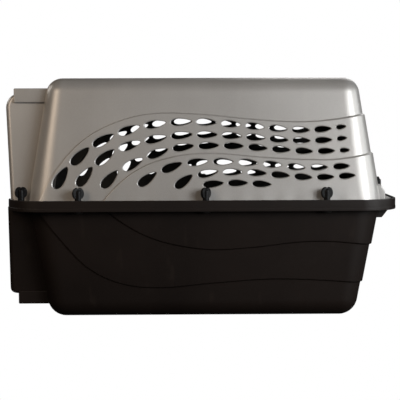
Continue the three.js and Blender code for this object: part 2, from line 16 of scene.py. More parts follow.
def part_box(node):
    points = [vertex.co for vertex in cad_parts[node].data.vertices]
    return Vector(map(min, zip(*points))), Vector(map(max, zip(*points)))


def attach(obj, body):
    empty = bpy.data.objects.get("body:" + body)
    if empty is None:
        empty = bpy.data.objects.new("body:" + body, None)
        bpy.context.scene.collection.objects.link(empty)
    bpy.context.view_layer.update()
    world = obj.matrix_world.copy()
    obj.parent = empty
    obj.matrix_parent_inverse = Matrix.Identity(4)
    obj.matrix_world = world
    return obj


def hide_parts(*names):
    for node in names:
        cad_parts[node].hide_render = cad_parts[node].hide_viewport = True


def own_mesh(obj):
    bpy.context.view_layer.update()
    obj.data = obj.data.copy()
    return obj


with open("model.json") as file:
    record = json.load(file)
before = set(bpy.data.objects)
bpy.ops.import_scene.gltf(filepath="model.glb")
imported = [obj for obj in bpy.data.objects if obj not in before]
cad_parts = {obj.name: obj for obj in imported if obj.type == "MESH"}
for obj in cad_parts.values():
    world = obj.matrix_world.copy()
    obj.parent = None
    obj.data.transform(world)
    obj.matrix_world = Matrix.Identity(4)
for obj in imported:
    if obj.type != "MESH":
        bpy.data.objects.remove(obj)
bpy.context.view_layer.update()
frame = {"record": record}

MM = 0.001


def box_mm(node):
    """Lowest and highest corner of a node of the frame, in millimetres."""
    low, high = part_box(node)
    return low / MM, high / MM


# ---------------------------------------------------------------- sizes taken from the frame
SHELL_LOW, SHELL_HIGH = box_mm("top_shell")
TUB_LOW, TUB_HIGH = box_mm("bottom_tub")
DOOR_LOW, DOOR_HIGH = box_mm("wire_door")
CASE_LOW, CASE_HIGH = box_mm("latch_case")
HANDLE_LOW, HANDLE_HIGH = box_mm("carry_handle")

GAP = 0.3
WALL = 3
HEIGHT = SHELL_HIGH.z
SEAM = SHELL_LOW.z - GAP
FLANGE = 3.2
LIP_TOP = TUB_HIGH.z
LIP_WALL = 3
RIM_FRONT = TUB_LOW.x + 2.7
RIM_REAR = TUB_HIGH.x
RIM_HALF = TUB_HIGH.y
RIM_CORNER = 60
# Further out than any part of the carrier.
BEYOND = 320

# ---------------------------------------------------------------- driving shapes
# One band of the wall stands this far proud of the next one away from the seam.
STEP = 2.5
# The ledge between two bands: distance below the wavy line, and the share of the step there.
LEDGE = [(-1.6, 0.0), (-1.3, 0.05), (0.4, 0.94), (0.8, 1.0)]
# Faint flutes in the top shell's wall, just above the rim.
FLUTE_PITCH = 32
FLUTE_DEPTH = 0.9
FLUTE_REACH = 34

# Wavy lines across the side walls, as X and Z.
UPPER_WAVE = [
    (-262, 160), (-220, 233), (-180, 278), (-132, 305), (-75, 319),
    (0, 318), (80, 310), (150, 306), (210, 310), (300, 326),
]
MIDDLE_WAVE = [
    (-175, 150), (-130, 205), (-90, 236), (-40, 253), (20, 258),
    (90, 252), (160, 248), (215, 249), (300, 264),
]
TUB_WAVE = [
    (-165, 190), (-112, 148), (-60, 123), (10, 110), (80, 113),
    (150, 121), (210, 121), (300, 110),
]
LOWER_TUB_WAVE = [
    (-262, 190), (-218, 130), (-172, 80), (-120, 55), (-60, 49),
    (20, 56), (110, 62), (200, 59), (300, 50),
]

# Vent rows: points on a smooth line, X of the rearmost vent, the number of vents, and their pitch at X = 0.
VENT_ROWS = [
    (
        [(-232, 190), (-214, 223), (-185, 255), (-150, 279), (-90, 300), (-20, 307), (50, 303),
         (120, 296), (175, 294), (240, 301)],
        217.5, 13, 39.4,
    ),
    (
        [(-201, 190), (-181, 220), (-150, 251), (-112, 270), (-50, 284), (10, 287), (80, 283),
         (140, 278), (190, 278), (240, 283)],
        218.6, 12, 39.4,
    ),
    (
        [(-164, 190), (-140, 219), (-105, 242), (-66, 259), (-25, 268), (40, 270), (110, 265),
         (170, 261), (240, 263)],
        222.7, 11, 39.8,
    ),
    (
        [(-110, 196), (-84, 218), (-46, 237), (-5, 245), (55, 245), (110, 241), (165, 236), (240, 239)],
        217.2, 9, 40.6,
    ),
    ([(-50, 195), (-25, 216), (13, 228), (70, 229), (120, 225), (175, 221), (240, 224)], 225.6, 8, 39.7),
    ([(-12, 208), (20, 211.5), (57, 212.7), (94, 211), (120, 209)], 94, 3, 39.4),
]
PITCH_TAPER = 0.028
# A vent points from this far back along its row.
HALF_VENT = 15
SMALL_TAIL_ROWS = 3
SMALL_VENT = (14.5, 5.4)
SMALL_PITCH = 28.5
REAR_VENT = (30, 10)
REAR_VENT_HEIGHTS = [288, 228]
REAR_VENTS_ACROSS = 6
REAR_VENT_PITCH = 42
# The dished rim of a vent: how much wider than the hole, and how far outside the wall's skin.
VENT_RIM = [(2.0, 6.0), (1.6, 0.25), (1.1, -0.3), (0.4, -0.7), (0.0, -1.4), (0.0, -30.0)]

# Door surround.
SURROUND_BACK = -230
SURROUND_TOP = 353
SURROUND_BOTTOM = 35
SURROUND_HALF = 152
SURROUND_NARROWING = 0.085
ROUND_ABOVE = 24
ROUND_BELOW = 9
SURROUND_WALL = 3.5
SURROUND_CORNER = 8
SURROUND_SIDE_ROUND = 5
UPPER_FACE = -298.2
UPPER_FACE_LEAN = 0.05
LOWER_FACE = TUB_LOW.x
BROW_LOW = Vector((-292, -143, 337.5))
BROW_HIGH = Vector((-236, 143, 360))
STEP_LOW = Vector((-289.5, -143, 19))
STEP_HIGH = Vector((-236, 143, 40))
DOORWAY_HALF = 118
DOORWAY_TOP = 318
DOORWAY_BOTTOM = 70
DOORWAY_CORNER = 8
DOORWAY_BACK = -260
JAMB_WALL = 4
JAMB_BACK = -279
JAMB_BEHIND_FACE = 0.4
SOCKET_REACH = 30
KEEPER_REACH = 7.5
KEEPER_HALF = 3
KEEPER_BACK = -294

LATCH_ROD_X = -297

# Rear grip blocks.
GRIP_HALF = 165
GRIP_FRONT = 262
# Upper block: its rear face, where that starts to lean in, and its top. Lower block: its foot and its lean.
GRIP_REAR = 289
GRIP_SHOULDER = 197
GRIP_TOP_REAR = 283
GRIP_TOP = 207.8
LOW_GRIP_BOTTOM = 156.7
LOW_GRIP_FOOT = 284
LOW_GRIP_REAR = 295
PAD_HALF = 140
PAD_TOP = 186
NUT_NOTCH_FRONT = 282
NUT_NOTCH_HALF = 15

# Roof recess of the handle.
RECESS_HALF_X = 104
RECESS_HALF_Y = 48
RECESS_DEPTH = 22
RECESS_CORNER = 10

STATION_TURNS = {
    "left_1": 30, "left_2": 42, "left_3": 15, "right_1": 100, "right_2": 140, "right_3": 70,
    "front_left": 12, "front_right": 12, "rear_left": 80, "rear_right": 80,
}


# ---------------------------------------------------------------- meshes
def new_piece(name, vertices, faces):
    """An object with a closed mesh whose faces point out."""
    mesh = bpy.data.meshes.new(name)
    mesh.from_pydata([tuple(v) for v in vertices], [], faces)
    work = bmesh.new()
    work.from_mesh(mesh)
    bmesh.ops.remove_doubles(work, verts=work.verts, dist=1e-3)
    bmesh.ops.recalc_face_normals(work, faces=work.faces)
    work.to_mesh(mesh)
    work.free()
    piece = bpy.data.objects.new(name, mesh)
    bpy.context.scene.collection.objects.link(piece)
    return piece


def loft(rings):
    """A closed solid through rings with the same number of points, with a flat cap at each end."""
    count = len(rings[0])
    vertices = [point for ring in rings for point in ring]
    faces = []
    for level in range(len(rings) - 1):
        for i in range(count):
            a = level * count + i
            b = level * count + (i + 1) % count
            faces.append((a, b, b + count, a + count))
    faces.append(tuple(reversed(range(count))))
    faces.append(tuple(range(len(vertices) - count, len(vertices))))
    return new_piece("loft", vertices, faces)


def rounded_outline(u0, u1, v0, v1, radius, steps=8):
    """A rectangle with round corners, anticlockwise."""
    radius = max(radius, 0.05)
    centres = [(u1 - radius, v0 + radius), (u1 - radius, v1 - radius)]
    centres += [(u0 + radius, v1 - radius), (u0 + radius, v0 + radius)]
    points = []
    for quarter, (u, v) in enumerate(centres):
        for i in range(steps + 1):
            angle = math.radians(90 * (quarter - 1 + i / steps))
            points.append((u + radius * math.cos(angle), v + radius * math.sin(angle)))
    return points


def at_height(points, z):
    return [Vector((u, v, z)) for u, v in points]


def soft_prism(points, across, start, end, bevel, segments=3):
    """A flat outline made thick between start and end, with every edge rounded.

    "across" is the axis it is thick along: the outline is in X and Z for "y", and in X and Y for "z".
    """
    count = len(points)
    vertices = [(u, w, v) if across == "y" else (u, v, w) for w in (start, end) for u, v in points]
    faces = [(i, (i + 1) % count, count + (i + 1) % count, count + i) for i in range(count)]
    faces += [tuple(reversed(range(count))), tuple(range(count, 2 * count))]
    piece = new_piece("prism", vertices, faces)
    work = bmesh.new()
    work.from_mesh(piece.data)
    bmesh.ops.bevel(
        work,
        geom=list(work.edges),
        offset=bevel,
        segments=segments,
        profile=0.5,
        affect="EDGES",
        clamp_overlap=True,
    )
    work.to_mesh(piece.data)
    work.free()
    return piece


def soft_block(low, high, bevel, segments=3):
    """A block with rounded edges between two corners."""
    corners = [(low[0], low[1]), (high[0], low[1]), (high[0], high[1]), (low[0], high[1])]
    return soft_prism(corners, "z", low[2], high[2], bevel, segments)


def plain_block(low, high):
    corners = [(low[0], low[1]), (high[0], low[1]), (high[0], high[1]), (low[0], high[1])]
    return loft([at_height(corners, low[2]), at_height(corners, high[2])])


def lathe(profile, sides=32):
    """A solid turned about Z from pairs of radius and height."""
    angles = [2 * math.pi * i / sides for i in range(sides)]
    return loft([[Vector((r * math.cos(a), r * math.sin(a), z)) for a in angles] for r, z in profile])


def tube(points, radius, sides=14):
    """A round wire along a line of points, with flat ends."""
    points = [Vector(p) for p in points]
    ahead = (points[1] - points[0]).normalized()
    side = ahead.orthogonal().normalized()
    rings = []
    for i, point in enumerate(points):
        before = points[max(i - 1, 0)]
        after = points[min(i + 1, len(points) - 1)]
        direction = (after - before).normalized()
        side = (side - direction * side.dot(direction)).normalized()
        up = direction.cross(side)
        turns = [2 * math.pi * k / sides for k in range(sides)]
        rings.append([point + radius * (side * math.cos(t) + up * math.sin(t)) for t in turns])
    return loft(rings)


def combine(base, operation, others):
    """Joins other pieces to base, or cuts them out of it, and deletes them."""
    for other in others:
        modifier = base.modifiers.new(operation, "BOOLEAN")
        modifier.operation = operation
        modifier.solver = "MANIFOLD"
        modifier.object = other
        bpy.context.view_layer.update()
        evaluated = base.evaluated_get(bpy.context.evaluated_depsgraph_get())
        mesh = bpy.data.meshes.new_from_object(evaluated)
        base.modifiers.clear()
        base.data = mesh
        bpy.data.objects.remove(other)
    return base


def union(base, *others):
    return combine(base, "UNION", others)


def cut(base, *others):
    return combine(base, "DIFFERENCE", others)


def merged(pieces):
    """One object that holds the meshes of several pieces which don't touch each other."""
    work = bmesh.new()
    for piece in pieces:
        work.from_mesh(piece.data)
        bpy.data.objects.remove(piece)
    mesh = bpy.data.meshes.new("merged")
    work.to_mesh(mesh)
    work.free()
    made = bpy.data.objects.new("merged", mesh)
    bpy.context.scene.collection.objects.link(made)
    return made


def placed(piece, matrix):
    piece.data.transform(matrix)
    return piece


def moved(piece, x, y, z=0):
    return placed(piece, Matrix.Translation((x, y, z)))


def laid_along_x(piece):
    return placed(piece, Matrix.Rotation(math.pi / 2, 4, "Y"))


body_of = {
    node: body for body, nodes in frame["record"]["behaviour"]["bodies"].items() for node in nodes
}


def show(piece, name, node, material, sharp_over=32):
    """Finishes a piece that stands for a node: metres, shading, material, and the body it rides on."""
    piece.name = name
    piece.data.name = name
    piece.data.transform(Matrix.Scale(MM, 4))
    piece.data.materials.clear()
    piece.data.materials.append(material)
    piece.data.shade_smooth()
    piece.data.set_sharp_from_angle(angle=math.radians(sharp_over))
    weighted = piece.modifiers.new("weighted normals", "WEIGHTED_NORMAL")
    weighted.keep_sharp = True
    weighted.weight = 80
    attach(piece, body_of[node])
    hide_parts(node)
    return piece


# ---------------------------------------------------------------- the two tapered halves
def smooth_line(points, per_span=24):
    """Points along a smooth curve that passes through the given ones."""
    points = [np.array(p, float) for p in points]
    made = []
    for i in range(len(points) - 1):
        start = points[i]
        end = points[i + 1]
        leaving = (end - points[max(i - 1, 0)]) / 2
        arriving = (points[min(i + 2, len(points) - 1)] - start) / 2
        for k in range(per_span):
            t = k / per_span
            made.append(
                (2 * start - 2 * end + leaving + arriving) * t**3
                + (3 * end - 3 * start - 2 * leaving - arriving) * t**2
                + leaving * t
                + start
            )
    made.append(points[-1])
    return np.array(made)


def inset(rise, taper, height, edge):
    """How far a wall has moved in at a height above the seam, past the round edge too."""
    slope = math.hypot(1, taper)
    if rise <= height - edge + edge * taper / slope:
        return taper * rise
    centre = taper * (height - edge) + edge * slope
    up = min(rise - (height - edge), edge)
    return centre - math.sqrt(edge * edge - up * up)


class Half:
    """One tapered half of the carrier. Heights are counted from the seam, away from it."""

    # Columns of the skin round each stretch of its outline, from the rear left corner on.
    COLUMNS = [10, 26, 10, 130, 10, 26, 10, 130]
    ROWS_BETWEEN = 6
    EDGE_ROWS = 12

    def __init__(self, towards, height, front, rear, side, corner, edge, waves, flutes=0):
        self.towards = towards
        self.height = height
        self.edge = edge
        self.flutes = flutes
        # Each of these is a measure at the seam, and how much it shrinks per millimetre away from it.
        self.front = front
        self.rear = rear
        self.side = side
        self.corner = corner
        self.waves = []
        for wave in waves:
            line = smooth_line(wave)
            rises = towards * (line[:, 1] - SEAM)
            spread = np.hypot(1, np.gradient(rises, line[:, 0]))
            self.waves.append((line[:, 0], rises, np.minimum(spread, 2.6)))

    def outline(self, rise, grow):
        """Front, rear, side and corner radius of the wall at a height."""
        height = self.height + min(grow, 0)
        edge = self.edge + min(grow, 0)
        side_inset = inset(rise, self.side[1], height, edge)
        front = self.front[0] + inset(rise, self.front[1], height, edge) - grow
        rear = self.rear[0] - inset(rise, self.rear[1], height, edge) + grow
        corner, tightening = self.corner
        radius = corner - tightening * rise + min(grow, 0) - (side_inset - self.side[1] * rise)
        return front, rear, self.side[0] - side_inset + grow, max(radius, 3)

    def wave_heights(self, x):
        """Height of each wavy line at an X, and how much its ledge is stretched there."""
        return [(np.interp(x, xs, rises), np.interp(x, xs, spreads)) for xs, rises, spreads in self.waves]

    def proud(self, x, rise):
        """How far the bands and flutes stand proud at a point of the wall."""
        below = [offset for offset, share in LEDGE]
        shares = [share for offset, share in LEDGE]
        bands = sum(
            STEP * np.interp((height - rise) / spread, below, shares)
            for height, spread in self.wave_heights(x)
        )
        fade = max(1 - max(rise, 0) / FLUTE_REACH, 0) ** 2
        return bands + self.flutes * fade * (math.cos(2 * math.pi * x / FLUTE_PITCH) - 1) / 2

    def plain_side(self, z):
        """Half width of the side walls at a height, without their bands."""
        rise = self.towards * (z - SEAM)
        return self.side[0] - inset(rise, self.side[1], self.height, self.edge)

    def wall_rear(self, z):
        """X of the skin of the rear wall."""
        rise = self.towards * (z - SEAM)
        x = self.rear[0] - inset(rise, self.rear[1], self.height, self.edge)
        return x + self.proud(x, rise)

    def point(self, stretch, t, rise, grow):
        """X and Y of the skin on a stretch of its outline, t of the way along."""
        front, rear, side, radius = self.outline(rise, grow)
        centres = [(rear - radius, radius - side), (rear - radius, side - radius)]
        centres += [(front + radius, side - radius), (front + radius, radius - side)]
        quarter, straight = divmod(stretch, 2)
        x, y = centres[quarter]
        if not straight:
            angle = math.radians(90 * (quarter - 1 + t))
            return x + radius * math.cos(angle), y + radius * math.sin(angle)
        next_x, next_y = centres[(quarter + 1) % 4]
        angle = math.radians(90 * quarter)
        return (
            x + (next_x - x) * t + radius * math.cos(angle),
            y + (next_y - y) * t + radius * math.sin(angle),
        )

    def column(self, stretch, t, grow, start):
        """Points up one column of the skin, with rows that follow the wavy lines."""
        rises = [start]
        for wave in range(len(self.waves)):
            rise, spread = 0, 1
            for _ in range(3):
                x, y = self.point(stretch, t, max(rise, 0), 0)
                rise, spread = self.wave_heights(x)[wave]
            shoulder = rise - LEDGE[-1][0] * spread
            rises += list(np.linspace(rises[-1], shoulder, self.ROWS_BETWEEN + 1)[1:-1])
            rises += [rise - offset * spread for offset, share in reversed(LEDGE)]
        height = self.height + min(grow, 0)
        edge = self.edge + min(grow, 0)
        round_from = height - edge
        rises += list(np.linspace(rises[-1], round_from, self.ROWS_BETWEEN + 1)[1:-1])
        for i in range(self.EDGE_ROWS + 1):
            rises.append(round_from + edge * math.sin(math.pi / 2 * i / self.EDGE_ROWS))
        made = []
        for rise in np.maximum.accumulate(np.maximum(rises, start)):
            x, y = self.point(stretch, t, rise, 0)
            x, y = self.point(stretch, t, rise, grow + self.proud(x, rise))
            made.append(Vector((x, y, SEAM + self.towards * rise)))
        return made

    def solid(self, grow, start):
        """The half as a solid, every wall moved out by grow."""
        columns = []
        for stretch, count in enumerate(self.COLUMNS):
            columns += [self.column(stretch, i / count, grow, start) for i in range(count)]
        return loft(list(zip(*columns)))


TOP = Half(
    towards=1,
    height=HEIGHT - SEAM,
    front=(RIM_FRONT + 29.3, 0.168),
    rear=(RIM_REAR - 26.9, 0.163),
    side=(RIM_HALF - 25, 0.123),
    corner=(37, 0.06),
    edge=26,
    waves=[MIDDLE_WAVE, UPPER_WAVE],
    flutes=FLUTE_DEPTH,
)
TUB = Half(
    towards=-1,
    height=SEAM,
    front=(RIM_FRONT + 31.3, 0.18),
    rear=(RIM_REAR - 31.6, 0.171),
    side=(RIM_HALF - 25, 0.123),
    corner=(37, 0.06),
    edge=30,
    waves=[TUB_WAVE, LOWER_TUB_WAVE],
)


def paint_inside_shade(piece, half, material):
    """Paints shade on a shown half's inside faces, those below its skin that look further in, by giving
    them a near-black material.
    """
    piece.data.materials.append(material)

    def depth(point):
        rise = half.towards * (point.z - SEAM)
        front, rear, side, radius = half.outline(max(rise, 0), half.proud(point.x, rise))
        past_x = abs(point.x - (front + rear) / 2) - (rear - front) / 2 + radius
        past_y = abs(point.y) - side + radius
        from_wall = radius - math.hypot(max(past_x, 0), max(past_y, 0)) - min(max(past_x, past_y), 0)
        return min(from_wall, half.height - rise)

    look = 5
    for face in piece.data.polygons:
        centre = face.center / MM
        deep = depth(centre)
        # These inside faces take the painted shade material.
        if deep > WALL / 2 and depth(centre + look * face.normal) > deep + look / 2:
            face.material_index = 1


# ---------------------------------------------------------------- vents
def teardrop(length, width, sides=28):
    """A teardrop about the origin with its round end at -u and its point at +u."""
    points = []
    for i in range(sides):
        turn = 2 * math.pi * i / sides
        swell = 1.12 - 0.38 * math.cos(turn)
        points.append((length / 2 * math.cos(turn), width / 2 * math.sin(turn) * swell))
    return points


def vent_cutter(length, width, place):
    """A cutter with a dished rim. "place" puts a point of the outline at a depth in the wall."""
    rings = []
    for wider, depth in VENT_RIM:
        outline = teardrop(length + 2 * wider, width + 2 * wider)
        rings.append([place(u, v, depth) for u, v in outline])
    return loft(rings)


def side_vent_places():
    """Length, width, angle, X and Z of every vent in a side wall."""
    made = []
    for row, (points, rear, count, pitch) in enumerate(VENT_ROWS):
        line = smooth_line(points, 120)
        walked = np.concatenate([[0], np.cumsum(np.hypot(*np.diff(line, axis=0).T))])
        at = np.interp(rear, line[:, 0], walked)
        for vent in range(count):
            x, z = (np.interp(at, walked, line[:, k]) for k in range(2))
            behind_x, behind_z = (np.interp(at - HALF_VENT, walked, line[:, k]) for k in range(2))
            angle = math.atan2(z - behind_z, x - behind_x)
            small = row < SMALL_TAIL_ROWS and vent == 0
            width = 8.6 - 0.007 * x + 4 * abs(math.sin(angle))
            length, width = SMALL_VENT if small else (31 - 0.03 * x, width)
            made.append((length, width, angle, x, z))
            at -= SMALL_PITCH if small else pitch - PITCH_TAPER * x
    return made


def side_vents():
    made = []
    for length, width, angle, x, z in side_vent_places():
        proud = TOP.proud(x, z - SEAM)
        for sign in (-1, 1):

            def place(u, v, depth):
                px = x + u * math.cos(angle) - v * math.sin(angle)
                pz = z + u * math.sin(angle) + v * math.cos(angle)
                return Vector((px, sign * (TOP.plain_side(pz) + proud + depth), pz))

            made.append(vent_cutter(length, width, place))
    return made


def rear_vents():
    made = []
    for z in REAR_VENT_HEIGHTS:
        for i in range(REAR_VENTS_ACROSS):
            y = (i - (REAR_VENTS_ACROSS - 1) / 2) * REAR_VENT_PITCH
            pointing = 1 if y > 0 else -1

            def place(u, v, depth):
                return Vector((TOP.wall_rear(z + v) + depth, y + pointing * u, z + v))

            made.append(vent_cutter(*REAR_VENT, place))
    return made


# ---------------------------------------------------------------- door surround
def surround_face(z, upper):
    """X of the surround's front at a height, rounded over at its far end."""
    face = UPPER_FACE - UPPER_FACE_LEAN * (z - SEAM) if upper else LOWER_FACE
    round_off = ROUND_ABOVE if upper else ROUND_BELOW
    to_end = SURROUND_TOP - z if upper else z - SURROUND_BOTTOM
    over = min(max(round_off - to_end, 0), round_off)
    return face + round_off - math.sqrt(round_off**2 - over**2)


def surround(low, high, shrink, upper):
    """The surround between two heights, thinner all round by shrink."""
    rings = []
    levels = 48
    for i in range(levels + 1):
        z = low + (high - low) * (1 - math.cos(math.pi * i / levels)) / 2
        to_end = high - z if upper else z - low
        over = max(SURROUND_SIDE_ROUND - to_end, 0)
        side_in = SURROUND_SIDE_ROUND - math.sqrt(SURROUND_SIDE_ROUND**2 - over**2)
        half = SURROUND_HALF - SURROUND_NARROWING * abs(z - SEAM) - shrink - side_in
        front = surround_face(z, upper) + shrink
        outline = rounded_outline(front, SURROUND_BACK, -half, half, SURROUND_CORNER - shrink)
        rings.append(at_height(outline, z))
    return loft(rings)


def doorway_outline(grow):
    return rounded_outline(
        -DOORWAY_HALF - grow,
        DOORWAY_HALF + grow,
        DOORWAY_BOTTOM - grow,
        DOORWAY_TOP + grow,
        DOORWAY_CORNER + grow,
    )


def doorway_cutter(upper):
    """The doorway, with its front edge rounded where it meets the surround's face."""
    rings = [[Vector((DOORWAY_BACK, y, z)) for y, z in doorway_outline(0)]]
    for wider, depth in [(0, 3.0), (0.25, 1.5), (0.9, 0.6), (2.0, 0.0), (2.6, -1.0)]:
        outline = doorway_outline(wider)
        rings.append([Vector((surround_face(z, upper) + depth, y, z)) for y, z in outline])
    return loft(rings)


def jamb(low, high, upper):
    """The lining of the doorway between two heights, from just behind the surround's face."""
    outline = doorway_outline(JAMB_WALL)
    lining = loft([[Vector((x, y, z)) for y, z in outline] for x in (-BEYOND, JAMB_BACK)])
    return combine(lining, "INTERSECT", [surround(low, high, JAMB_BEHIND_FACE, upper)])


def rod_holes():
    """Sockets for the hinge rod, and the keeper slots of the latch's rods."""
    rod_radius = (DOOR_HIGH.x - DOOR_LOW.x) / 2
    hinge_x = (DOOR_HIGH.x + DOOR_LOW.x) / 2
    hinge_y = DOOR_HIGH.y - rod_radius
    latch_low, latch_high = box_mm("latch_bolt_upper")
    latch_y = (latch_low.y + latch_high.y) / 2
    bore = rod_radius + 0.4
    socket = [(bore, DOORWAY_BOTTOM - SOCKET_REACH), (bore, DOORWAY_TOP + SOCKET_REACH)]
    return [
        moved(lathe(socket), hinge_x, hinge_y),
        plain_block(
            (-BEYOND, latch_y - KEEPER_HALF, DOORWAY_BOTTOM - KEEPER_REACH),
            (KEEPER_BACK, latch_y + KEEPER_HALF, DOORWAY_TOP + KEEPER_REACH),
        ),
    ]


# ---------------------------------------------------------------- rim
def rim_plate(levels):
    """A plate with the rim's outline, through pairs of margin inside the rim and height."""
    rings = []
    for margin, z in levels:
        half = RIM_HALF - margin
        corner = RIM_CORNER - margin
        outline = rounded_outline(RIM_FRONT + margin, RIM_REAR - margin, -half, half, corner, 14)
        rings.append(at_height(outline, z))
    return loft(rings)


def station_boxes():
    """Name and the box of the wing nut of each bolt station."""
    return {name: box_mm(f"wing_nut_{name}") for name in STATION_TURNS}


def bolt_holes():
    made = []
    for low, high in station_boxes().values():
        middle = (low + high) / 2
        hole = lathe([(3.5, SEAM - 30), (3.5, SEAM + 60)], 20)
        made.append(moved(hole, middle.x, middle.y))
    return made


# ---------------------------------------------------------------- top shell
def roof_recess(margin, top, lip):
    """The handle's recess, wider all round by margin. The lip rounds over its top edge."""
    floor = HEIGHT - RECESS_DEPTH - margin
    levels = [(-4, floor), (-1.2, floor + 1), (-0.3, floor + 2.4), (0, floor + 4.5), (0, top - 2.5)]
    levels += [(0.3 * lip, top - 1.2), (1.0 * lip, top - 0.35), (2.2 * lip, top), (2.6 * lip, top + 2)]
    rings = []
    for wider, z in levels:
        more = margin + wider
        half_x = RECESS_HALF_X + more
        half_y = RECESS_HALF_Y + more
        outline = rounded_outline(-half_x, half_x, -half_y, half_y, RECESS_CORNER + more)
        rings.append(at_height(outline, z))
    return loft(rings)


def pin_bosses():
    made = []
    for node in ("handle_pin_front", "handle_pin_rear"):
        low, high = box_mm(node)
        outer = (high.x if high.x > 0 else low.x) + math.copysign(4, high.x)
        inner = math.copysign(RECESS_HALF_X, high.x)
        y = (low.y + high.y) / 2
        near, far = sorted((inner, outer))
        made.append(plain_block((near, y - 8, HEIGHT - RECESS_DEPTH), (far, y + 8, HEIGHT - 1)))
    return made


def handle_pin_holes():
    made = []
    for node in ("handle_pin_front", "handle_pin_rear"):
        low, high = box_mm(node)
        middle = (low + high) / 2
        half = (high.x - low.x) / 2 + 1
        hole = laid_along_x(lathe([(3.2, -half), (3.2, half)], 24))
        made.append(moved(hole, *middle))
    return made


def grip_notches(low, high):
    made = []
    for name in ("rear_left", "rear_right"):
        nut_low, nut_high = box_mm(f"wing_nut_{name}")
        y = (nut_low.y + nut_high.y) / 2
        made.append(
            soft_block((NUT_NOTCH_FRONT, y - NUT_NOTCH_HALF, low), (BEYOND, y + NUT_NOTCH_HALF, high), 2)
        )
    return made


def top_shell():
    seam = SEAM + GAP
    flange_in = LIP_WALL + GAP
    flange = rim_plate([(flange_in, seam), (flange_in, seam + 3.2), (flange_in + 0.8, seam + FLANGE)])
    pad = soft_block((270, -PAD_HALF, seam - 2), (303, PAD_HALF, PAD_TOP), 1.6)
    grip_profile = [
        (GRIP_FRONT, seam - 3), (GRIP_REAR, seam - 3), (GRIP_REAR, GRIP_SHOULDER),
        (GRIP_TOP_REAR, GRIP_TOP), (GRIP_FRONT, GRIP_TOP),
    ]
    grip = cut(soft_prism(grip_profile, "y", -GRIP_HALF, GRIP_HALF, 1.6), *grip_notches(PAD_TOP, 215))
    skin = union(
        TOP.solid(0, GAP),
        surround(seam, SURROUND_TOP, 0, True),
        soft_block(BROW_LOW, BROW_HIGH, 1.8),
        flange,
        pad,
        grip,
    )
    wall = Vector((WALL, WALL, WALL))
    brow_hollow_high = Vector((BROW_HIGH.x + 2, BROW_HIGH.y - WALL, BROW_HIGH.z - WALL))
    hollow = union(
        TOP.solid(-WALL, -5),
        surround(seam - 5, SURROUND_TOP - WALL, SURROUND_WALL, True),
        plain_block(BROW_LOW + wall, brow_hollow_high),
    )
    body = cut(skin, hollow, plain_block((-BEYOND, -BEYOND, SEAM - 40), (BEYOND, BEYOND, seam)))
    body = union(
        body,
        roof_recess(WALL, HEIGHT - 1.2, 0),
        *pin_bosses(),
        jamb(seam, SURROUND_TOP, True),
    )
    holes = [*rod_holes(), *bolt_holes(), *handle_pin_holes()]
    return cut(
        body,
        roof_recess(0, HEIGHT, 1),
        doorway_cutter(True),
        merged(side_vents() + rear_vents()),
        *holes,
    )


# ---------------------------------------------------------------- bottom tub
def bottom_tub():
    lip_outside = [
        (0.8, SEAM - FLANGE), (0.2, SEAM - FLANGE + 0.3), (0, SEAM - FLANGE + 0.8), (0, SEAM + 1.4),
        (0.1, SEAM + 2.0), (0.4, SEAM + 2.4), (0.4, LIP_TOP - 1.2), (0.7, LIP_TOP - 0.4), (1.4, LIP_TOP),
    ]
    lip_inside = [(LIP_WALL, SEAM), (LIP_WALL, LIP_TOP - 0.6), (LIP_WALL - 0.4, LIP_TOP + 2)]
    front_gap = SURROUND_HALF + GAP
    lip = cut(
        rim_plate(lip_outside),
        rim_plate(lip_inside),
        soft_block((-320, -front_gap, SEAM), (-280, front_gap, LIP_TOP + 5), 1.2),
    )
    low_profile = [
        (GRIP_FRONT, LOW_GRIP_BOTTOM), (LOW_GRIP_FOOT, LOW_GRIP_BOTTOM), (LOW_GRIP_REAR, SEAM - FLANGE),
        (LOW_GRIP_REAR, SEAM - 0.5), (GRIP_FRONT, SEAM - 0.5),
    ]
    under_grip = cut(
        soft_prism(low_profile, "y", -GRIP_HALF, GRIP_HALF, 1.2), *grip_notches(150, SEAM - FLANGE)
    )
    skin = union(
        TUB.solid(0, 0),
        surround(SURROUND_BOTTOM, SEAM, 0, False),
        soft_block(STEP_LOW, STEP_HIGH, 1.8),
        lip,
        under_grip,
    )
    wall = Vector((WALL, WALL, WALL))
    hollow = union(
        TUB.solid(-WALL, -5),
        surround(SURROUND_BOTTOM + WALL, SEAM + 1, SURROUND_WALL, False),
        plain_block(STEP_LOW + wall, Vector((STEP_HIGH.x + 2, STEP_HIGH.y - WALL, STEP_HIGH.z + 1))),
    )
    body = union(cut(skin, hollow), jamb(SURROUND_BOTTOM, SEAM, False))
    return cut(body, doorway_cutter(False), *rod_holes(), *bolt_holes())


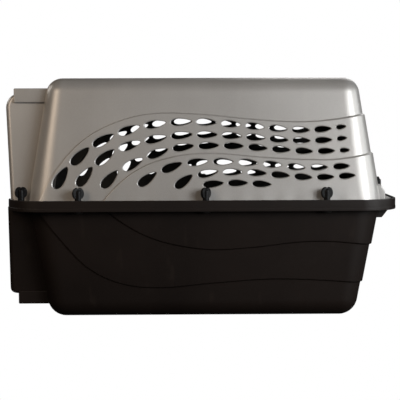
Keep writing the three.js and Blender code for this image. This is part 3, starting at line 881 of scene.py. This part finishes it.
# ---------------------------------------------------------------- wire door
def wire_door():
    """A welded grid of round wires in a bent frame, with a straight rod at the hinge."""
    frame_radius = (DOOR_HIGH.x - DOOR_LOW.x) / 2
    x = (DOOR_HIGH.x + DOOR_LOW.x) / 2
    hinge_y = DOOR_HIGH.y - frame_radius
    free_y = DOOR_LOW.y + frame_radius
    low = DOORWAY_BOTTOM + 5 + frame_radius
    high = DOORWAY_TOP - 5 - frame_radius
    corner = 9
    wire = 1.6
    offset = 0.9
    thinner = frame_radius * 0.96
    rod = [(x, hinge_y, DOOR_LOW.z + 0.1), (x, hinge_y, DOOR_HIGH.z - 0.1)]
    pieces = [tube(rod, frame_radius - 0.02, 20)]
    for z in (low, high):
        pieces.append(tube([(x, y, z) for y in (hinge_y, hinge_y - corner, free_y + corner)], thinner))
    angles = [math.pi / 2 * i / 8 for i in range(9)]
    centre_y = free_y + corner
    bend = [(x, centre_y - corner * math.sin(a), low + corner - corner * math.cos(a)) for a in angles]
    bend += [(x, centre_y - corner * math.cos(a), high - corner + corner * math.sin(a)) for a in angles]
    pieces.append(tube(bend, thinner))
    uprights = 8
    bars = 5
    for i in range(1, uprights + 1):
        y = free_y + (hinge_y - free_y) * i / (uprights + 1)
        pieces.append(tube([(x - offset, y, low - 1), (x - offset, y, high + 1)], wire))
    for i in range(1, bars + 1):
        z = low + (high - low) * i / (bars + 1)
        pieces.append(tube([(x + offset, free_y - 1, z), (x + offset, hinge_y + 1, z)], wire))
    return union(*pieces)


# ---------------------------------------------------------------- squeeze latch
def latch_case():
    """A trough, open to the front, with a web across its middle."""
    wall = 2
    y = (CASE_LOW.y + CASE_HIGH.y) / 2
    z = (CASE_LOW.z + CASE_HIGH.z) / 2
    outside = soft_block(CASE_LOW, CASE_HIGH, 1.6)
    hole = lathe([(2.6, CASE_LOW.z - 1), (2.6, CASE_HIGH.z + 1)], 20)
    hole = moved(hole, LATCH_ROD_X, y)
    pockets = [
        soft_block(
            (CASE_LOW.x - 4, CASE_LOW.y + wall, bottom + wall),
            (CASE_HIGH.x - wall, CASE_HIGH.y - wall, top - wall),
            0.8,
        )
        for bottom, top in ((z, CASE_HIGH.z), (CASE_LOW.z, z))
    ]
    return cut(outside, *pockets, hole)


def latch_slide(node, sign):
    """A thumb piece with grip ribs, and the rod that it draws."""
    low, high = box_mm(node)
    y = (low.y + high.y) / 2
    z = (CASE_LOW.z + CASE_HIGH.z) / 2
    near = z + sign * 20
    far = z + sign * 42
    bottom = min(near, far)
    top = max(near, far)
    slider = soft_block((CASE_LOW.x + 0.4, y - 10.4, bottom), (CASE_HIGH.x - 2.4, y + 10.4, top), 0.8)
    thumb = soft_block((low.x + 0.9, y - 9, bottom + 2), (CASE_LOW.x + 1.5, y + 9, top - 2), 1.4)
    tip = high.z if sign > 0 else low.z
    rod = tube([(LATCH_ROD_X, y, end) for end in ((bottom + top) / 2, tip - sign * 1.2, tip)], 2.2, 18)
    ribs = []
    for i in range(4):
        rib_z = bottom + 5.2 + i * 3.9
        ribs.append(soft_block((low.x, y - 7.5, rib_z - 0.8), (low.x + 2, y + 7.5, rib_z + 0.8), 0.5))
    return union(slider, thumb, rod, *ribs)


def latch_spring(node):
    """A coil spring between the case's web and the slide."""
    low, high = box_mm(node)
    middle = (low + high) / 2
    wire = 0.55
    radius = (high.y - low.y) / 2 - wire
    turns = 5
    steps = turns * 22
    points = []
    for i in range(steps + 1):
        t = i / steps
        angle = 2 * math.pi * turns * t
        z = low.z + wire + (high.z - low.z - 2 * wire) * t
        points.append((middle.x + radius * math.cos(angle), middle.y + radius * math.sin(angle), z))
    return tube(points, wire, 8)


# ---------------------------------------------------------------- carry handle
def carry_handle():
    """A bail with a ribbed grip, folded into its recess."""
    low, high = HANDLE_LOW, HANDLE_HIGH
    arm = 14
    grip = 20
    outside = rounded_outline(low.x, high.x, low.y, high.y, 8, 6)
    inside = rounded_outline(low.x + arm, high.x - arm, low.y + grip, high.y + 60, 6, 6)
    body = loft_soft(outside, low.z, high.z, 3.2)
    body = cut(body, loft_flared(inside, low.z, high.z, 2.4))
    ribs = []
    count = 17
    half = 1.3
    for i in range(count):
        x = (i - (count - 1) / 2) * 7
        near = (x - half, low.y + 0.6, high.z - 4)
        ribs.append(soft_block(near, (x + half, low.y + grip - 0.6, high.z), 0.8))
    pin_low, pin_high = box_mm("handle_pin_rear")
    pin = (pin_low + pin_high) / 2
    bore = laid_along_x(lathe([(3.25, -120), (3.25, 120)], 24))
    return cut(union(body, *ribs), moved(bore, 0, pin.y, pin.z))


def shrunk(outline, amount):
    """An outline moved inwards by an amount, point by point."""
    made = []
    count = len(outline)
    for i in range(count):
        before = Vector(outline[i - 1])
        here = Vector(outline[i])
        after = Vector(outline[(i + 1) % count])
        along = ((here - before).normalized() + (after - here).normalized()).normalized()
        made.append((here.x - amount * along.y, here.y + amount * along.x))
    return made


def round_rings(outline, low, high, bevel, inwards):
    """An outline from low to high, rounded at both ends. "inwards" is 1, or -1 where the ends widen."""
    angles = [math.pi / 2 * i / 4 for i in range(5)]
    stations = [(angle, low, 1) for angle in angles] + [(angle, high, -1) for angle in reversed(angles)]
    rings = []
    for angle, end, sign in stations:
        ring = shrunk(outline, inwards * bevel * (1 - math.sin(angle)))
        rings.append(at_height(ring, end + sign * bevel * (1 - math.cos(angle))))
    return rings


def loft_soft(outline, low, high, bevel):
    """An outline made thick along Z, with its top and bottom edges rounded."""
    return loft(round_rings(outline, low, high, bevel, 1))


def loft_flared(outline, low, high, bevel):
    """A cutter with an outline that widens where it leaves the top and the bottom."""
    widest = shrunk(outline, -bevel * 1.4)
    middle = round_rings(outline, low, high, bevel, -1)
    return loft([at_height(widest, low - 1), *middle, at_height(widest, high + 1)])


def handle_pin(node):
    low, high = box_mm(node)
    half = (high.x - low.x) / 2
    radius = (high.z - low.z) / 2
    profile = [(radius - 0.5, -half), (radius, 0.5 - half), (radius, half - 0.5), (radius - 0.5, half)]
    return moved(laid_along_x(lathe(profile, 28)), *((low + high) / 2))


# ---------------------------------------------------------------- wing nuts and bolts
def wing_nut(height, bore_top):
    """A nut with two fat lobes that run into each other, standing on z = 0."""
    stem = lathe(
        [
            (6.3, 0.1), (7, 0.7), (7, 2.6), (6.6, 3.3), (5.6, 4.2), (5.2, 5.4),
            (5.2, height - 7), (4.8, height - 5), (3.9, height - 3.6), (3.0, height - 3),
        ]
    )
    pieces = [stem]
    thick = 2.5
    wide = 6.4
    tall = 8.8
    apart = 3.2
    middle = height - tall
    lobe_swell = [(-1, 0.82), (-0.85, 0.91), (-0.6, 0.97), (0, 1), (0.6, 0.97), (0.85, 0.91), (1, 0.82)]
    for sign in (-1, 1):
        rings = []
        for share, scale in lobe_swell:
            ring = []
            for k in range(32):
                angle = 2 * math.pi * k / 32
                u = sign * apart + wide * scale * math.cos(angle)
                ring.append(Vector((u, thick * share, middle + tall * scale * math.sin(angle))))
            rings.append(ring)
        pieces.append(loft(rings))
        for side in (-1, 1):
            for k, length in ((-1, 4.6), (0, 5.6), (1, 4.6)):
                u = sign * (apart + 1.6) + k * 1.9
                y0, y1 = sorted((side * (thick - 1), side * (thick + 0.15)))
                low = (u - 0.5, y0, middle - length)
                high = (u + 0.5, y1, middle + length)
                pieces.append(soft_block(low, high, 0.3, 2))
    return cut(union(*pieces), lathe([(3.35, -1), (3.35, bore_top)], 24))


def carriage_bolt(node):
    """A bolt whose domed head is below."""
    low, high = box_mm(node)
    middle = (low + high) / 2
    head = (high.x - low.x) / 2
    under = SEAM - FLANGE - GAP
    dome = under - low.z
    profile = [(1.2, low.z)]
    for i in range(1, 8):
        angle = math.pi / 2 * i / 8
        profile.append((head * math.sin(angle), under - 0.5 - (dome - 0.5) * math.cos(angle)))
    profile += [(head, under - 0.4), (head - 0.2, under), (3, under), (3, high.z - 0.8), (2.3, high.z)]
    return moved(lathe(profile, 28), middle.x, middle.y)


# ---------------------------------------------------------------- materials
def link(material, output, socket):
    material.node_tree.links.new(output, socket)


def add_node(material, kind, inputs=None, **settings):
    """A shader node. Each input is a value or the output socket of another node."""
    made = material.node_tree.nodes.new(kind)
    for name, value in settings.items():
        setattr(made, name, value)
    for name, value in (inputs or {}).items():
        if isinstance(value, bpy.types.NodeSocket):
            link(material, value, made.inputs[name])
        else:
            made.inputs[name].default_value = value
    return made


def noise(material, coordinates, scale, detail=2.0, stretch=(1, 1, 1)):
    """Noise in object space with features about 1 / scale metres across."""
    mapped = add_node(material, "ShaderNodeMapping", {"Vector": coordinates, "Scale": stretch})
    texture = add_node(
        material,
        "ShaderNodeTexNoise",
        {"Vector": mapped.outputs["Vector"], "Scale": scale, "Detail": detail},
    )
    return texture.outputs["Fac"]


def ranged(material, value, low, high, to_low, to_high):
    made = add_node(
        material,
        "ShaderNodeMapRange",
        {"Value": value, "From Min": low, "From Max": high, "To Min": to_low, "To Max": to_high},
    )
    return made.outputs["Result"]


def blended(material, share, first, second):
    made = add_node(material, "ShaderNodeMix", data_type="RGBA")
    for index, value in ((0, share), (6, first), (7, second)):
        if isinstance(value, bpy.types.NodeSocket):
            link(material, value, made.inputs[index])
        else:
            made.inputs[index].default_value = value
    return made.outputs[2]


def colour(red, green, blue):
    return (red, green, blue, 1.0)


def new_material(name, **sockets):
    """A material with a Principled shader whose constant sockets are set, and object coordinates."""
    material = bpy.data.materials.new(name)
    material.use_nodes = True
    shader = material.node_tree.nodes["Principled BSDF"]
    for socket, value in sockets.items():
        shader.inputs[socket.replace("_", " ")].default_value = value
    coordinates = add_node(material, "ShaderNodeTexCoord").outputs["Object"]
    return material, shader, coordinates


def grain_bump(material, shader, height, depth):
    bump = add_node(material, "ShaderNodeBump", {"Height": height, "Distance": depth, "Strength": 1.0})
    link(material, bump.outputs["Normal"], shader.inputs["Normal"])


def vary_roughness(material, shader, pattern, low, high):
    link(material, ranged(material, pattern, 0.3, 0.7, low, high), shader.inputs["Roughness"])


def pearl_plastic():
    """Taupe-silver moulded plastic with fine metallic flake."""
    material, shader, place = new_material(
        "pearl plastic", Metallic=0.45, Specular_IOR_Level=0.5, Coat_Weight=0.12, Coat_Roughness=0.35
    )
    cloud = ranged(material, noise(material, place, 6, 3), 0.35, 0.65, 0, 1)
    streak = ranged(material, noise(material, place, 40, 2, (1, 1, 0.06)), 0.4, 0.7, 0, 1)
    base = blended(material, cloud, colour(0.29, 0.275, 0.26), colour(0.33, 0.315, 0.3))
    base = blended(material, ranged(material, streak, 0, 1, 0, 0.25), base, colour(0.36, 0.34, 0.32))
    flake = add_node(material, "ShaderNodeTexVoronoi", {"Vector": place, "Scale": 1600.0})
    sparkle = ranged(material, flake.outputs["Distance"], 0.0, 0.6, 0.22, 0.0)
    base = blended(material, sparkle, base, colour(0.62, 0.6, 0.58))
    link(material, base, shader.inputs["Base Color"])
    fine = noise(material, place, 900, 3)
    vary_roughness(material, shader, fine, 0.36, 0.46)
    grain_bump(material, shader, fine, 0.00006)
    return material


def pearl_painted_shade():
    """Painted shade: a near-black copy of the pearl plastic, so that the shell's inside looks unlit."""
    material, shader, place = new_material("pearl plastic painted shade", Specular_IOR_Level=0.2)
    cloud = ranged(material, noise(material, place, 6, 3), 0.35, 0.65, 0, 1)
    # Painted shade: near-black tones that stand for the unlit inside of the shell.
    base = blended(material, cloud, colour(0.022, 0.02, 0.018), colour(0.03, 0.028, 0.026))
    link(material, base, shader.inputs["Base Color"])
    fine = noise(material, place, 900, 3)
    vary_roughness(material, shader, fine, 0.6, 0.72)
    return material


def tub_plastic():
    """Dark coffee-brown moulded plastic with a fine eroded texture."""
    material, shader, place = new_material("coffee plastic", Specular_IOR_Level=0.17)
    cloud = ranged(material, noise(material, place, 7, 4), 0.35, 0.65, 0, 1)
    base = blended(material, cloud, colour(0.0055, 0.0034, 0.0026), colour(0.0085, 0.0054, 0.0042))
    scuff = ranged(material, noise(material, place, 60, 5, (1, 1, 0.3)), 0.62, 0.75, 0, 0.3)
    base = blended(material, scuff, base, colour(0.02, 0.014, 0.011))
    link(material, base, shader.inputs["Base Color"])
    fine = noise(material, place, 700, 4)
    vary_roughness(material, shader, fine, 0.42, 0.56)
    grain_bump(material, shader, fine, 0.00008)
    return material


def black_plastic(name, roughness, tint, shine=0.4):
    """Black moulded plastic, with grain and a little handling polish."""
    material, shader, place = new_material(name, Specular_IOR_Level=shine)
    cloud = ranged(material, noise(material, place, 45, 3), 0.4, 0.65, 0, 1)
    darker = colour(*(0.55 * part for part in tint))
    link(material, blended(material, cloud, darker, colour(*tint)), shader.inputs["Base Color"])
    fine = noise(material, place, 1300, 3)
    vary_roughness(material, shader, fine, roughness - 0.06, roughness + 0.06)
    grain_bump(material, shader, fine, 0.00005)
    return material


def steel(name, roughness, tint, drawn):
    """Plated or drawn steel. "drawn" stretches its fine lines along Z."""
    material, shader, place = new_material(name, Metallic=1.0)
    lines = noise(material, place, 1500, 3, drawn)
    stain = ranged(material, noise(material, place, 90, 4), 0.45, 0.7, 0, 0.35)
    base = blended(material, stain, colour(*tint), colour(*(0.6 * part for part in tint)))
    link(material, base, shader.inputs["Base Color"])
    vary_roughness(material, shader, lines, roughness - 0.05, roughness + 0.07)
    grain_bump(material, shader, lines, 0.00002)
    return material


# ---------------------------------------------------------------- the pieces
pearl = pearl_plastic()
coffee = tub_plastic()
nut_black = black_plastic("nut plastic", 0.44, (0.003, 0.003, 0.0033), 0.12)
latch_black = black_plastic("latch plastic", 0.42, (0.013, 0.013, 0.014))
handle_black = black_plastic("handle plastic", 0.48, (0.015, 0.014, 0.0135))
bolt_black = black_plastic("bolt plastic", 0.4, (0.012, 0.0115, 0.011))
wire_steel = steel("plated wire", 0.22, (0.66, 0.67, 0.68), (1, 1, 0.1))
spring_steel = steel("spring wire", 0.3, (0.5, 0.5, 0.51), (1, 1, 1))
pin_steel = steel("pin steel", 0.28, (0.55, 0.55, 0.55), (0.1, 1, 1))

shell = top_shell()
show(shell, "vented_roof_shell", "top_shell", pearl)
# The shell's inside faces get painted shade: a near-black copy of its plastic.
paint_inside_shade(shell, TOP, pearl_painted_shade())
show(bottom_tub(), "deep_base_tub", "bottom_tub", coffee)
show(wire_door(), "welded_wire_door", "wire_door", wire_steel)
show(latch_case(), "latch_housing", "latch_case", latch_black)
for level, sign in (("upper", 1), ("lower", -1)):
    bolt_node = f"latch_bolt_{level}"
    spring_node = f"latch_spring_{level}"
    slide = latch_slide(bolt_node, sign)
    show(slide, f"latch_slide_{level}", bolt_node, latch_black)
    coil = show(latch_spring(spring_node), f"latch_coil_{level}", spring_node, spring_steel)
    low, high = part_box(spring_node)
    anchor = low if sign > 0 else high
    tuple(anchor)
    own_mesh(coil)
show(carry_handle(), "folding_bail_handle", "carry_handle", handle_black)
for end in ("front", "rear"):
    show(handle_pin(f"handle_pin_{end}"), f"bail_pin_{end}", f"handle_pin_{end}", pin_steel)

nut_mesh = None
for station, (low, high) in station_boxes().items():
    seat = low.z - 0.1
    if nut_mesh is None:
        nut = wing_nut(high.z - seat, 19.5)
        nut_mesh = nut.data.copy()
    else:
        nut = bpy.data.objects.new("nut", nut_mesh.copy())
        bpy.context.scene.collection.objects.link(nut)
    middle = (low + high) / 2
    turn = Matrix.Rotation(math.radians(STATION_TURNS[station]), 4, "Z")
    placed(nut, Matrix.Translation((middle.x, middle.y, seat)) @ turn)
    show(nut, f"clamp_nut_{station}", f"wing_nut_{station}", nut_black)
    bolt = carriage_bolt(f"bolt_{station}")
    show(bolt, f"clamp_bolt_{station}", f"bolt_{station}", bolt_black)


# ---------------------------------------------------------------- camera, lights, floor and world
def add_camera():
    """Looks along +Y at the carrier's left side, from a little above its middle."""
    data = bpy.data.cameras.new("camera")
    data.sensor_width = 36
    data.lens = 94.6
    data.clip_end = 50
    camera = bpy.data.objects.new("camera", data)
    bpy.context.scene.collection.objects.link(camera)
    yaw = math.radians(0.572)
    pitch = math.radians(4.488)
    roll = math.radians(0.21)
    forward = Vector((math.sin(yaw) * math.cos(pitch), math.cos(yaw) * math.cos(pitch), -math.sin(pitch)))
    right = forward.cross(Vector((0, 0, 1))).normalized()
    up = right.cross(forward)
    rolled_right = right * math.cos(roll) - up * math.sin(roll)
    rolled_up = right * math.sin(roll) + up * math.cos(roll)
    turn = Matrix((rolled_right, rolled_up, -forward)).transposed().to_4x4()
    camera.matrix_world = Matrix.Translation((-0.017, -1.8, 0.3135)) @ turn
    bpy.context.scene.camera = camera


def add_softbox(name, turn, rise, size, power, tint):
    """A square light round the carrier: degrees to the right of the camera, degrees up, metres, watts."""
    data = bpy.data.lights.new(name, "AREA")
    data.size = size
    data.energy = power
    data.color = tint
    light = bpy.data.objects.new(name, data)
    turn = math.radians(turn)
    rise = math.radians(rise)
    back = Vector((math.sin(turn) * math.cos(rise), -math.cos(turn) * math.cos(rise), math.sin(rise)))
    light.location = Vector((0.05, -0.15, 0.24)) + 1.8 * back
    light.rotation_euler = back.to_track_quat("Z", "Y").to_euler()
    bpy.context.scene.collection.objects.link(light)


def add_floor():
    """A large pale floor that the camera sees white, and that throws only a little light back."""
    material, shader, place = new_material("floor", Roughness=0.9, Specular_IOR_Level=0.0)
    seen = add_node(material, "ShaderNodeLightPath").outputs["Is Camera Ray"]
    cloud = ranged(material, noise(material, place, 3, 2), 0.3, 0.7, 0, 1)
    tone = blended(material, cloud, colour(0.04, 0.04, 0.04), colour(0.05, 0.05, 0.05))
    link(material, blended(material, seen, tone, colour(0, 0, 0)), shader.inputs["Base Color"])
    link(material, seen, shader.inputs["Emission Strength"])
    shader.inputs["Emission Color"].default_value = colour(1, 1, 1)
    size = 30
    mesh = bpy.data.meshes.new("floor")
    corners = [(-size, -size, 0), (size, -size, 0), (size, size, 0), (-size, size, 0)]
    mesh.from_pydata(corners, [], [(0, 1, 2, 3)])
    mesh.materials.append(material)
    floor = bpy.data.objects.new("floor", mesh)
    floor.location.z = -0.0005
    bpy.context.scene.collection.objects.link(floor)


def add_world():
    """A white backdrop for the camera, and a dimmer sky for everything else."""
    world = bpy.data.worlds.new("world")
    bpy.context.scene.world = world
    world.use_nodes = True
    nodes = world.node_tree.nodes
    background = nodes["Background"]
    path = nodes.new("ShaderNodeLightPath")
    strength = nodes.new("ShaderNodeMapRange")
    strength.inputs["To Min"].default_value = 0.04
    strength.inputs["To Max"].default_value = 1.0
    world.node_tree.links.new(path.outputs["Is Camera Ray"], strength.inputs["Value"])
    world.node_tree.links.new(strength.outputs["Result"], background.inputs["Strength"])
    background.inputs["Color"].default_value = colour(1, 1, 1)


add_camera()
add_softbox("key", 30, 14, 0.6, 8.5, (0.95, 0.97, 1.0))
add_softbox("rear corner", 48, 10, 0.7, 29, (0.94, 0.98, 1.0))
add_softbox("rear side", 85, 10, 0.8, 9, (0.94, 0.98, 1.0))
add_softbox("warm front side", -46, 20, 0.8, 10.5, (1.0, 0.82, 0.64))
add_softbox("front rim", -112, 24, 0.6, 4, (1.0, 0.96, 0.9))
add_softbox("far side", 160, 35, 0.8, 6, (1.0, 1.0, 1.0))
add_floor()
add_world()
bpy.context.scene.view_settings.view_transform = "Standard"
